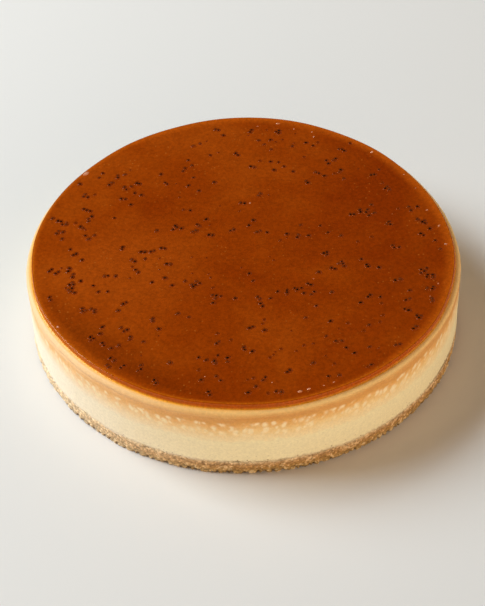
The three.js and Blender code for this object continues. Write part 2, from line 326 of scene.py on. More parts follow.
gap = np.max(np.clip(gap_across[:, None], 0, 1) * np.clip(gap_climb, 0, 1), axis=0)
# Painted shadow: a broken dark line along the very foot, where the base meets the floor.
broken = np.clip(0.6 + 1.2 * soft_noise(angle, 0 * angle, 240, 1, 45), 0, 1)
painted_foot_shadow = np.clip(1.3 - height / FOOT_SHADOW_HEIGHT, 0, 1) * broken
turn_in = (FOOT_TURN_IN * np.clip(1 - height / FOOT_TURN_HEIGHT, 0, 1) ** 2
           + LID_TURN_IN * np.clip(8 * (share - 0.9), 0, 1) ** 2)
radius = CAKE_RADIUS * out_of_round(angle) + relief - turn_in - GAP_RECESS * gap
side = place_rows(angle, radius, height)
crumb_foot = [place_rows(angle, radius[:1] * part, 0 * radius[:1]) for part in (0.5, 0.9, 0.97)]
crumb_lid = [place_rows(angle, radius[-1:] * part, 0 * radius[-1:] + CRUMB_TOP - LID_DROP)
             for part in (0.985, 0.5)]
# Painted shade: the hollows between the crumbs' domes, darkened in the material.
pit = np.clip(0.8 - coarse_dome - 0.6 * fine_dome, 0, 1)
ring_rows = [0] * len(crumb_foot) + list(range(CRUMB_ROWS)) + [CRUMB_ROWS - 1] * len(crumb_lid)
crumb_base = closed_skin("crumb_base_pressed", np.concatenate(crumb_foot + [side] + crumb_lid), {
    "pit": pit[ring_rows],
    "gap": np.maximum(gap, painted_foot_shadow)[ring_rows],
    "grain": (0.4 * coarse_number + 0.6 * fine_number)[ring_rows]})

# Baked biscuit crumb, pressed and dry: golden brown from toasting against the tin's foot, pinker and dusty
# towards the filling, with each crumb of its own tone. Painted light makes the side that faces the window
# paler, and painted shade darkens the hollows between crumbs, the gaps along the foot and a broken line along
# the very foot.
crumb_material, tree, output = new_material("pressed_biscuit_crumb")
where = add_node(tree, "ShaderNodeTexCoord").outputs["Object"]
grain_value = add_node(tree, "ShaderNodeAttribute", {"attribute_name": "grain"}).outputs["Fac"]
pit_shade_value = add_node(tree, "ShaderNodeAttribute", {"attribute_name": "pit"}).outputs["Fac"]
gap_shade_value = add_node(tree, "ShaderNodeAttribute", {"attribute_name": "gap"}).outputs["Fac"]
up_side = add_node(tree, "ShaderNodeSeparateXYZ", inputs={0: where}).outputs["Z"]
patch = add_node(tree, "ShaderNodeTexNoise", inputs={
    "Vector": where, "Scale": 1 / (3.5 * MM), "Detail": 3.0, "Roughness": 0.6})
patched_height = add_node(tree, "ShaderNodeMath", {"operation": "MULTIPLY_ADD"}, {
    0: patch.outputs["Fac"], 1: 4 * MM, 2: up_side})
toast = add_node(tree, "ShaderNodeMapRange", inputs={
    "Value": patched_height.outputs[0], "From Min": 2 * MM, "From Max": 12 * MM})
toast_tone = add_node(tree, "ShaderNodeValToRGB", {"stops": [
    (0.2, "#a88753"), (0.4, "#b4884c"), (0.6, "#bc8e58"), (0.78, "#c49d6e"), (0.95, "#d6bd96")]}, {
    "Fac": toast.outputs["Result"]})
# Painted light: the side that faces the window, on the left, is mixed towards a pale tone.
window_facing = add_node(tree, "ShaderNodeVectorMath", {"operation": "DOT_PRODUCT"}, {
    0: where, 1: toward(WINDOW_SIDE_AZIMUTH, CAKE_RADIUS)})
painted_light_share = add_node(tree, "ShaderNodeMapRange", inputs={
    "Value": window_facing.outputs["Value"], "From Min": 0.4, "From Max": 1.0, "To Max": 0.85})
painted_light_amount = add_node(tree, "ShaderNodeMath", {"operation": "POWER"}, {0: painted_light_share.outputs["Result"], 1: 2.0})
painted_light_mixed = add_node(tree, "ShaderNodeMix", {"data_type": "RGBA"}, {
    "Factor": painted_light_amount.outputs[0], "A": toast_tone.outputs["Color"], "B": linear("#fbdfb8")})
grain_tone = add_node(tree, "ShaderNodeMapRange", inputs={
    "Value": grain_value, "From Min": 0.2, "From Max": 0.8, "To Min": 0.7, "To Max": 1.27})
grained = add_node(tree, "ShaderNodeMix", {"data_type": "RGBA", "blend_type": "MULTIPLY"}, {
    "Factor": 1.0, "A": painted_light_mixed.outputs["Result"], "B": grain_tone.outputs["Result"]})
sugar = add_node(tree, "ShaderNodeMapRange", {"interpolation_type": "SMOOTHSTEP"}, {
    "Value": grain_value, "From Min": 0.55, "From Max": 0.85, "To Max": 0.5})
sugared = add_node(tree, "ShaderNodeMix", {"data_type": "RGBA"}, {
    "Factor": sugar.outputs["Result"], "A": grained.outputs["Result"], "B": linear("#ecd3a8")})
crumble = add_node(tree, "ShaderNodeTexNoise", inputs={
    "Vector": where, "Scale": 1 / (0.8 * MM), "Detail": 3.0, "Roughness": 0.7})
crumbled = add_node(tree, "ShaderNodeMath", {"operation": "MULTIPLY_ADD"}, {
    0: pit_shade_value, 1: 0.5, 2: crumble.outputs["Fac"]})
# Painted shade in the hollows between crumbs, broken up by fine noise.
pit_shade_tone = add_node(tree, "ShaderNodeMapRange", inputs={
    "Value": crumbled.outputs[0], "From Min": 0.4, "From Max": 1.0, "To Min": 1.25, "To Max": 0.42})
pitted = add_node(tree, "ShaderNodeMix", {"data_type": "RGBA", "blend_type": "MULTIPLY"}, {
    "Factor": 1.0, "A": sugared.outputs["Result"], "B": pit_shade_tone.outputs["Result"]})
# Painted shade: the gaps at the foot and the line along the very foot are mixed towards dark brown.
gap_shaded = add_node(tree, "ShaderNodeMix", {"data_type": "RGBA"}, {
    "Factor": gap_shade_value, "A": pitted.outputs["Result"], "B": linear("#40220a")})
flour = add_node(tree, "ShaderNodeTexNoise", inputs={
    "Vector": where, "Scale": 1 / (0.5 * MM), "Detail": 3.0, "Roughness": 0.7})
flour_bump = add_node(tree, "ShaderNodeBump", inputs={
    "Height": flour.outputs["Fac"], "Strength": 0.8, "Distance": 0.25 * MM})
shader = add_node(tree, "ShaderNodeBsdfPrincipled", inputs={
    "Base Color": gap_shaded.outputs["Result"], "Roughness": 0.85, "Specular IOR Level": 0.25,
    "Normal": flour_bump.outputs["Normal"]})
tree.links.new(shader.outputs[0], output.inputs["Surface"])
crumb_base.data.materials.append(crumb_material)
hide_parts("crumb_base")
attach(crumb_base, "root")

# Filling: cream cheese, eggs and sugar baked in the tin. It browned above half its height, left a
# crease where it shrank back, and set in a smooth, paler, rounded shoulder.
SHOULDER_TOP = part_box("caramel_glaze")[0][2]
SHOULDER_WIDTH = 2.9 * MM
SHOULDER_DROP = 2.4 * MM
CREASE_HEIGHT = 43.3 * MM
CREASE_TILT = 1.1 * MM
CREASE_DEPTH = 0.3 * MM
CREASE_HALF_WIDTH = 0.7 * MM
CREASE_WAVE = 0.2 * MM
SHOULDER_CALM = 0.7
CREAM_SINK = 0.5 * MM
CREAM_FOOT_HEIGHT = 0.9 * MM
CREAM_FOOT_TURN_IN = 0.1 * MM
SKIN_NOISES = [(0.10, 150, 7, 51), (0.05, 420, 3, 52), (0.03, 900, 1.2, 53)]
BROWNING_START = 28 * MM
DABS_ROUND = 215
DAB_HEIGHT = 6.4 * MM
DAB_LIFT = 2.4 * MM
DAB_REACH = 0.42
SMALL_DABS_ROUND = 330
SMALL_DAB_HEIGHT = 4.2 * MM
SMALL_DAB_REACH = 0.4
DAB_SLANT = 0.55
DAB_BAND_BOTTOM = 27 * MM
DAB_BAND_TOP = 40.6 * MM
PAINTED_GLOW_AZIMUTH = math.radians(-30)
WALL_COLUMNS = 1180
WALL_ROWS = 64
ROW_STEPS = (0, 0.07, 0.33, 0.86, 1)
HEIGHT_STEPS = (0, 0.042, 0.59, 0.938, 1)
SHOULDER_ROWS = 12


def crease_shift(angle, height):
    """How far the bands of the wall are lifted: the crease climbs to the right as a cosine of the angle,
    with small waves, and the lift fades out down to where the browning starts and up to the shoulder."""
    below = np.clip((height - BROWNING_START) / (CREASE_HEIGHT - BROWNING_START), 0, 1)
    above = np.clip((SHOULDER_TOP - height) / (SHOULDER_TOP - CREASE_HEIGHT), 0, 1)
    waves = CREASE_TILT * np.cos(angle) + CREASE_WAVE * np.sin(5 * angle + 1)
    return waves * np.minimum(below, above)


angle = np.linspace(0, 2 * math.pi, WALL_COLUMNS, endpoint=False)[None, :]
base_height = crumb_line(angle) - CREAM_SINK
arc_start = SHOULDER_TOP - SHOULDER_DROP
even = np.linspace(0, 1, WALL_ROWS, endpoint=False)[:, None]
share = np.interp(even, ROW_STEPS, HEIGHT_STEPS)
wall_height = base_height + share * (arc_start - base_height)
arc = np.linspace(0, math.pi / 2, SHOULDER_ROWS)[:, None]
arc_height = arc_start + SHOULDER_DROP * np.sin(arc) + 0 * angle
unshifted = np.concatenate([wall_height, arc_height])
rise = np.concatenate([0 * wall_height, np.repeat(arc, WALL_COLUMNS, 1)])
height = unshifted + crease_shift(angle, unshifted)
turns = angle + 0 * height
crease = np.exp(-((unshifted - CREASE_HEIGHT) / CREASE_HALF_WIDTH) ** 2)
foot = np.clip(1 - (unshifted - base_height) / CREAM_FOOT_HEIGHT, 0, 1) ** 2
wave = 0.12 * np.sin(7 * turns + 200 * height) + 0.1 * np.sin(17 * turns - 100 * height + 2)
skin = sum(depth * soft_noise(turns, height, around, cell * MM, seed)
           for depth, around, cell, seed in SKIN_NOISES)
calm = 1 - SHOULDER_CALM * np.clip(rise, 0, 1)
radius = (CAKE_RADIUS * out_of_round(angle) - SHOULDER_WIDTH * (1 - np.cos(rise))
          - CREASE_DEPTH * crease - CREAM_FOOT_TURN_IN * foot + (wave + skin) * calm * MM)
side = place_rows(angle, radius, height)
leaning = -DAB_SLANT * np.cos(turns) * height / CAKE_RADIUS
bent = turns + leaning + 0.006 * soft_noise(turns, height, 300, 1.8 * MM, 55)
lifted = np.maximum(height - DAB_LIFT, 0)
dab_distance, dab_number = grains(bent, lifted, DABS_ROUND, DAB_HEIGHT, 54)
small_distance, small_number = grains(bent, height, SMALL_DABS_ROUND, SMALL_DAB_HEIGHT, 56)
large_dab = np.clip(1.15 - dab_distance / DAB_REACH, 0, 1) * (0.4 + 0.6 * dab_number)
small_dab = np.clip(1.1 - small_distance / SMALL_DAB_REACH, 0, 1) * (small_number - 0.25)
fade_in = np.clip((unshifted - DAB_BAND_BOTTOM) / (4 * MM), 0, 1)
fade_out = np.clip((DAB_BAND_TOP - unshifted) / (1.6 * MM), 0, 1)
dab = np.maximum(large_dab, small_dab) * fade_in * fade_out
top_rings = [place_rows(angle, radius[-1:] * part, 0 * radius[-1:] + SHOULDER_TOP)
             for part in (0.985, 0.95, 0.5)]
foot_rings = [place_rows(angle, radius[:1] * part, base_height - 0.2 * MM) for part in (0.5, 0.985)]
ring_rows = [0] * len(foot_rings) + list(range(len(unshifted))) + [len(unshifted) - 1] * len(top_rings)
filling = closed_skin("cheese_filling_baked", np.concatenate(foot_rings + [side] + top_rings), {
    "bake": unshifted[ring_rows], "dab": dab[ring_rows]})

# Baked cream cheese: satin, close and a little porous. It is ivory below and tan above with pale dabs in
# between, and its foot is stained and specked with stray crumbs. Painted light makes it paler all over on the
# side that faces the window, and a painted glow of light through the caramel makes the shoulder amber next to
# the glaze and golden on the side away from the window.
cream_material, tree, output = new_material("baked_cream_cheese")
where = add_node(tree, "ShaderNodeTexCoord").outputs["Object"]
bake_height = add_node(tree, "ShaderNodeAttribute", {"attribute_name": "bake"}).outputs["Fac"]
dab_value = add_node(tree, "ShaderNodeAttribute", {"attribute_name": "dab"}).outputs["Fac"]
drift = add_node(tree, "ShaderNodeTexNoise", inputs={
    "Vector": where, "Scale": 1 / (14 * MM), "Detail": 4.0, "Roughness": 0.6})
drifted = add_node(tree, "ShaderNodeMath", {"operation": "MULTIPLY_ADD"}, {
    0: drift.outputs["Fac"], 1: 5 * MM, 2: bake_height})
mottle = add_node(tree, "ShaderNodeTexNoise", inputs={
    "Vector": where, "Scale": 1 / (2.6 * MM), "Detail": 3.0, "Roughness": 0.6, "Distortion": 0.4})
mottled = add_node(tree, "ShaderNodeMath", {"operation": "MULTIPLY_ADD"}, {
    0: mottle.outputs["Fac"], 1: 5 * MM, 2: drifted.outputs[0]})
level = add_node(tree, "ShaderNodeMapRange", inputs={
    "Value": mottled.outputs[0], "From Min": 5 * MM, "From Max": SHOULDER_TOP + 5 * MM})
bands = add_node(tree, "ShaderNodeValToRGB", {"stops": [
    (0.0, "#f4e6bb"), (0.53, "#f4e5b8"), (0.57, "#f5dfae"), (0.63, "#f4d8a2"), (0.69, "#f3d092"),
    (0.755, "#eebf79"), (0.81, "#e7ab5e"), (0.85, "#dca052"), (0.894, "#d89950"), (0.935, "#dca45c"),
    (0.965, "#e4b066")]}, {"Fac": level.outputs["Result"]})
stain_edge = add_node(tree, "ShaderNodeTexNoise", inputs={
    "Vector": where, "Scale": 1 / (1.8 * MM), "Detail": 4.0, "Roughness": 0.75})
stain_height = add_node(tree, "ShaderNodeMath", {"operation": "MULTIPLY_ADD"}, {
    0: stain_edge.outputs["Fac"], 1: -5 * MM, 2: bake_height})
stain = add_node(tree, "ShaderNodeMapRange", {"interpolation_type": "SMOOTHSTEP"}, {
    "Value": stain_height.outputs[0], "From Min": CRUMB_TOP - 0.8 * MM, "From Max": CRUMB_TOP - 3 * MM,
    "To Max": 0.75})
stained = add_node(tree, "ShaderNodeMix", {"data_type": "RGBA"}, {
    "Factor": stain.outputs["Result"], "A": bands.outputs["Color"], "B": linear("#c8a880")})
stray_cells = add_node(tree, "ShaderNodeTexVoronoi", inputs={"Vector": where, "Scale": 1 / (2.6 * MM)})
stray = add_node(tree, "ShaderNodeMapRange", {"interpolation_type": "SMOOTHSTEP"}, {
    "Value": stray_cells.outputs["Distance"], "From Min": 0.24, "From Max": 0.12})
stray_zone = add_node(tree, "ShaderNodeMapRange", inputs={
    "Value": stain_height.outputs[0], "From Min": CRUMB_TOP + 3 * MM, "From Max": CRUMB_TOP - 2 * MM,
    "To Max": 0.8})
stray_amount = add_node(tree, "ShaderNodeMath", {"operation": "MULTIPLY"}, {
    0: stray.outputs["Result"], 1: stray_zone.outputs["Result"]})
strewn = add_node(tree, "ShaderNodeMix", {"data_type": "RGBA"}, {
    "Factor": stray_amount.outputs[0], "A": stained.outputs["Result"], "B": linear("#8f6036")})
# Painted light: the side that faces the window, on the left, is mixed towards pale tones that follow the
# bands.
window_facing = add_node(tree, "ShaderNodeVectorMath", {"operation": "DOT_PRODUCT"}, {
    0: where, 1: toward(WINDOW_SIDE_AZIMUTH, CAKE_RADIUS)})
painted_light_share = add_node(tree, "ShaderNodeMapRange", inputs={
    "Value": window_facing.outputs["Value"], "From Min": 0.35, "From Max": 1.0, "To Max": 0.83})
painted_light_amount = add_node(tree, "ShaderNodeMath", {"operation": "POWER"}, {0: painted_light_share.outputs["Result"], 1: 2.0})
painted_light_tone = add_node(tree, "ShaderNodeValToRGB", {"stops": [
    (0.55, "#fbebd8"), (0.85, "#fcc482"), (0.93, "#fdd3a4")]}, {"Fac": level.outputs["Result"]})
painted_light_mixed = add_node(tree, "ShaderNodeMix", {"data_type": "RGBA"}, {
    "Factor": painted_light_amount.outputs[0], "A": strewn.outputs["Result"], "B": painted_light_tone.outputs["Color"]})
dab_amount = add_node(tree, "ShaderNodeMapRange", {"interpolation_type": "SMOOTHSTEP"}, {
    "Value": dab_value, "From Min": 0.0, "From Max": 0.7, "To Max": 0.85})
dabbed = add_node(tree, "ShaderNodeMix", {"data_type": "RGBA"}, {
    "Factor": dab_amount.outputs["Result"], "A": painted_light_mixed.outputs["Result"], "B": linear("#fce5b8")})
# Painted glow: a ring at the top of the shoulder, next to the glaze's foot, is mixed towards amber as light
# through the caramel.
painted_caustic = add_node(tree, "ShaderNodeMapRange", {"interpolation_type": "SMOOTHSTEP"}, {
    "Value": bake_height, "From Min": SHOULDER_TOP - 0.6 * MM, "From Max": SHOULDER_TOP, "To Max": 0.7})
painted_caustic_mixed = add_node(tree, "ShaderNodeMix", {"data_type": "RGBA"}, {
    "Factor": painted_caustic.outputs["Result"], "A": dabbed.outputs["Result"], "B": linear("#f8b03c")})
# Painted glow: the top of the shoulder on the side away from the window, where the glaze shades it, is mixed
# towards pale gold.
glow_side_facing = add_node(tree, "ShaderNodeVectorMath", {"operation": "DOT_PRODUCT"}, {
    0: where, 1: toward(PAINTED_GLOW_AZIMUTH, CAKE_RADIUS)})
painted_glow_share = add_node(tree, "ShaderNodeMapRange", {"interpolation_type": "SMOOTHSTEP"}, {
    "Value": glow_side_facing.outputs["Value"], "From Min": 0.1, "From Max": 0.9, "To Max": 0.9})
shoulder_top = add_node(tree, "ShaderNodeMapRange", {"interpolation_type": "SMOOTHSTEP"}, {
    "Value": bake_height, "From Min": SHOULDER_TOP - 2.4 * MM, "From Max": SHOULDER_TOP - 0.6 * MM})
painted_glow_amount = add_node(tree, "ShaderNodeMath", {"operation": "MULTIPLY"}, {
    0: painted_glow_share.outputs["Result"], 1: shoulder_top.outputs["Result"]})
painted_glow_mixed = add_node(tree, "ShaderNodeMix", {"data_type": "RGBA"}, {
    "Factor": painted_glow_amount.outputs[0], "A": painted_caustic_mixed.outputs["Result"], "B": linear("#ffd48a")})
pores = add_node(tree, "ShaderNodeTexNoise", inputs={
    "Vector": where, "Scale": 1 / (1.4 * MM), "Detail": 5.0, "Roughness": 0.75})
pore_tone = add_node(tree, "ShaderNodeMapRange", inputs={
    "Value": pores.outputs["Fac"], "From Min": 0.3, "From Max": 0.7, "To Min": 0.89, "To Max": 1.09})
toned = add_node(tree, "ShaderNodeMix", {"data_type": "RGBA", "blend_type": "MULTIPLY"}, {
    "Factor": 1.0, "A": painted_glow_mixed.outputs["Result"], "B": pore_tone.outputs["Result"]})
pore_bump = add_node(tree, "ShaderNodeBump", inputs={
    "Height": pores.outputs["Fac"], "Strength": 0.35, "Distance": 0.2 * MM})
shader = add_node(tree, "ShaderNodeBsdfPrincipled", inputs={
    "Base Color": toned.outputs["Result"], "Roughness": 0.55, "Specular IOR Level": 0.3,
    "Normal": pore_bump.outputs["Normal"]})
tree.links.new(shader.outputs[0], output.inputs["Surface"])
filling.data.materials.append(cream_material)
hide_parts("cheese_filling")
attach(filling, "root")

# Glaze: caramel poured warm over the chilled filling, where it set as a level disc with a steep
# side and a small rounded lip, a few millimetres short of the edge.
GLAZE_RADIUS = 116.6 * MM
GLAZE_THICKNESS = 3.1 * MM
GLAZE_TOP = SHOULDER_TOP + GLAZE_THICKNESS
LIP_RADIUS = 0.45 * MM
DEEP_AZIMUTH = math.radians(228)
RIM_GLOW_AZIMUTH = math.radians(40)
THIN_PATCH = (-66 * MM, -14 * MM, GLAZE_TOP)
UNDER_PARTS = (0.5, 0.95)
SIDE_PROFILE_MM = [(-1.3, -0.2), (-0.9, 0.02), (-0.55, 0.12), (-0.3, 0.3), (-0.12, 0.62), (-0.03, 1.0),
                   (0.0, 1.4), (0.0, 1.9)]
LIP_START = 0.12
GLAZE_COLUMNS = 720
LIP_ROWS = 10
TOP_RINGS = 56

angle = np.linspace(0, 2 * math.pi, GLAZE_COLUMNS, endpoint=False)[None, :]
edge = (GLAZE_RADIUS * out_of_round(angle)
        + (0.15 * np.sin(9 * angle + 1) + 0.12 * np.sin(14 * angle + 3)) * MM)
rows = [(edge * part, SHOULDER_TOP) for part in UNDER_PARTS]
rows += [(edge - inward * MM, SHOULDER_TOP + up * MM) for inward, up in SIDE_PROFILE_MM]
rows += [(edge - LIP_RADIUS * (1 - math.cos(turned)), GLAZE_TOP - LIP_RADIUS * (1 - math.sin(turned)))
         for turned in np.linspace(LIP_START, math.pi / 2, LIP_ROWS)]
rows += [((edge - LIP_RADIUS) * part, GLAZE_TOP) for part in np.linspace(1, 0, TOP_RINGS, endpoint=False)[1:]]
radius = np.concatenate([row_radius for row_radius, _ in rows])
height = np.concatenate([row_height + 0 * edge for _, row_height in rows])
glaze = closed_skin("caramel_glaze_poured", place_rows(angle, radius, height), {
    "from_edge": edge - radius})

# Set caramel: clear, deep amber and glossy, with fine grit and specks of air. It is dark where it is deep. A
# painted glow of light through the caramel makes the rim, lip and side orange and the thin foot golden, the
# foot partly its own colour over the cream. A painted highlight lies in a line just inside the lip, and a
# painted sheen lightens the top towards the window. All that depth and light is drawn in colours of the
# surface.
caramel_material, tree, output = new_material("set_caramel")
where = add_node(tree, "ShaderNodeTexCoord").outputs["Object"]
from_edge = add_node(tree, "ShaderNodeAttribute", {"attribute_name": "from_edge"}).outputs["Fac"]
clouds = add_node(tree, "ShaderNodeTexNoise", inputs={
    "Vector": where, "Scale": 1 / (60 * MM), "Detail": 5.0, "Roughness": 0.6, "Distortion": 0.4})
# Soft clouds of tone, plus a painted sheen: the colour is lighter towards the window on the left.
across = add_node(tree, "ShaderNodeSeparateXYZ", inputs={0: where}).outputs["X"]
clouds_and_painted_sheen = add_node(tree, "ShaderNodeMath", {"operation": "MULTIPLY_ADD"}, {
    0: across, 1: -1.2, 2: clouds.outputs["Fac"]})
depth = add_node(tree, "ShaderNodeValToRGB", {"stops": [
    (0.3, "#842d01"), (0.5, "#8f3602"), (0.6, "#963c04"), (0.75, "#9e4307")]}, {"Fac": clouds_and_painted_sheen.outputs[0]})
patch_distance = add_node(tree, "ShaderNodeVectorMath", {"operation": "DISTANCE"}, {
    0: where, 1: THIN_PATCH})
patch_share = add_node(tree, "ShaderNodeMapRange", {"interpolation_type": "SMOOTHSTEP"}, {
    "Value": patch_distance.outputs["Value"], "From Min": 58 * MM, "From Max": 14 * MM, "To Max": 0.6})
thinned = add_node(tree, "ShaderNodeMix", {"data_type": "RGBA"}, {
    "Factor": patch_share.outputs["Result"], "A": depth.outputs["Color"], "B": linear("#a3460a")})
deep_side = add_node(tree, "ShaderNodeVectorMath", {"operation": "DOT_PRODUCT"}, {
    0: where, 1: toward(DEEP_AZIMUTH, GLAZE_RADIUS)})
deep_part = add_node(tree, "ShaderNodeMapRange", {"interpolation_type": "SMOOTHSTEP"}, {
    "Value": deep_side.outputs["Value"], "From Min": 0.72, "From Max": 0.92, "To Max": 0.55})
deep_edge = add_node(tree, "ShaderNodeMapRange", {"interpolation_type": "SMOOTHSTEP"}, {
    "Value": from_edge, "From Min": 3 * MM, "From Max": 7 * MM})
deep_amount = add_node(tree, "ShaderNodeMath", {"operation": "MULTIPLY"}, {
    0: deep_part.outputs["Result"], 1: deep_edge.outputs["Result"]})
deepened = add_node(tree, "ShaderNodeMix", {"data_type": "RGBA"}, {
    "Factor": deep_amount.outputs[0], "A": thinned.outputs["Result"], "B": linear("#6c2501")})
# Painted glow: a band inside the edge, wider towards the back right, is mixed towards bright orange as light
# through the thin caramel.
rim_glow_side = add_node(tree, "ShaderNodeVectorMath", {"operation": "DOT_PRODUCT"}, {
    0: where, 1: toward(RIM_GLOW_AZIMUTH, GLAZE_RADIUS)})
rim_reach = add_node(tree, "ShaderNodeMapRange", {"interpolation_type": "SMOOTHSTEP"}, {
    "Value": rim_glow_side.outputs["Value"], "From Min": -0.5, "From Max": 0.8,
    "To Min": 3 * MM, "To Max": 8 * MM})
rim_place = add_node(tree, "ShaderNodeMath", {"operation": "DIVIDE"}, {
    0: from_edge, 1: rim_reach.outputs["Result"]})
rim = add_node(tree, "ShaderNodeMapRange", {"interpolation_type": "SMOOTHSTEP"}, {
    "Value": rim_place.outputs[0], "From Min": 1.0, "From Max": 0.0})
rimmed = add_node(tree, "ShaderNodeMix", {"data_type": "RGBA"}, {
    "Factor": rim.outputs["Result"], "A": deepened.outputs["Result"], "B": linear("#b5500a")})
# Across the lip: the thin foot golden, partly its own colour over the cream and partly painted glow; the side
# and lip orange as painted glow; and a lighter line just inside the lip's top as a painted highlight.
lip = add_node(tree, "ShaderNodeMapRange", inputs={
    "Value": from_edge, "From Min": -1.2 * MM, "From Max": 1.8 * MM})
lip_glow_and_highlight_tone = add_node(tree, "ShaderNodeValToRGB", {"stops": [
    (0.1, "#f0a83a"), (0.25, "#dc8c22"), (0.36, "#bc5c08"), (0.42, "#a64502"), (0.58, "#a44502"),
    (0.68, "#b9600f"), (0.8, "#a84a05")]}, {"Fac": lip.outputs["Result"]})
lip_part = add_node(tree, "ShaderNodeMapRange", {"interpolation_type": "SMOOTHSTEP"}, {
    "Value": from_edge, "From Min": 1.7 * MM, "From Max": 0.8 * MM})
lipped = add_node(tree, "ShaderNodeMix", {"data_type": "RGBA"}, {
    "Factor": lip_part.outputs["Result"], "A": rimmed.outputs["Result"], "B": lip_glow_and_highlight_tone.outputs["Color"]})
grit = add_node(tree, "ShaderNodeTexNoise", inputs={
    "Vector": where, "Scale": 1 / (1.7 * MM), "Detail": 4.0, "Roughness": 0.75})
grit_tone = add_node(tree, "ShaderNodeMapRange", inputs={
    "Value": grit.outputs["Fac"], "From Min": 0.3, "From Max": 0.7, "To Min": 0.75, "To Max": 1.27})
gritty = add_node(tree, "ShaderNodeMix", {"data_type": "RGBA", "blend_type": "MULTIPLY"}, {
    "Factor": 1.0, "A": lipped.outputs["Result"], "B": grit_tone.outputs["Result"]})
speck_cells = add_node(tree, "ShaderNodeTexVoronoi", inputs={"Vector": where, "Scale": 1 / (3.2 * MM)})
speck = add_node(tree, "ShaderNodeMapRange", {"interpolation_type": "SMOOTHSTEP"}, {
    "Value": speck_cells.outputs["Distance"], "From Min": 0.2, "From Max": 0.04})
speck_patch = add_node(tree, "ShaderNodeTexNoise", inputs={
    "Vector": where, "Scale": 1 / (22 * MM), "Detail": 2.0, "Roughness": 0.5})
speck_share = add_node(tree, "ShaderNodeMapRange", inputs={
    "Value": speck_patch.outputs["Fac"], "From Min": 0.45, "From Max": 0.65, "To Max": 0.6})
speck_amount = add_node(tree, "ShaderNodeMath", {"operation": "MULTIPLY"}, {
    0: speck.outputs["Result"], 1: speck_share.outputs["Result"]})
specked = add_node(tree, "ShaderNodeMix", {"data_type": "RGBA"}, {
    "Factor": speck_amount.outputs[0], "A": gritty.outputs["Result"], "B": linear("#c06c26")})
ripple = add_node(tree, "ShaderNodeTexNoise", inputs={
    "Vector": where, "Scale": 1 / (7 * MM), "Detail": 2.0, "Roughness": 0.5})
ripple_bump = add_node(tree, "ShaderNodeBump", inputs={
    "Height": ripple.outputs["Fac"], "Strength": 0.08, "Distance": 0.3 * MM})
shader = add_node(tree, "ShaderNodeBsdfPrincipled", inputs={
    "Base Color": specked.outputs["Result"], "Roughness": 0.06, "IOR": 1.45, "Specular IOR Level": 0.6,
    "Specular Tint": linear("#ffb87c"), "Normal": ripple_bump.outputs["Normal"]})
tree.links.new(shader.outputs[0], output.inputs["Surface"])
glaze.data.materials.append(caramel_material)
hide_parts("caramel_glaze")
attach(glaze, "root")

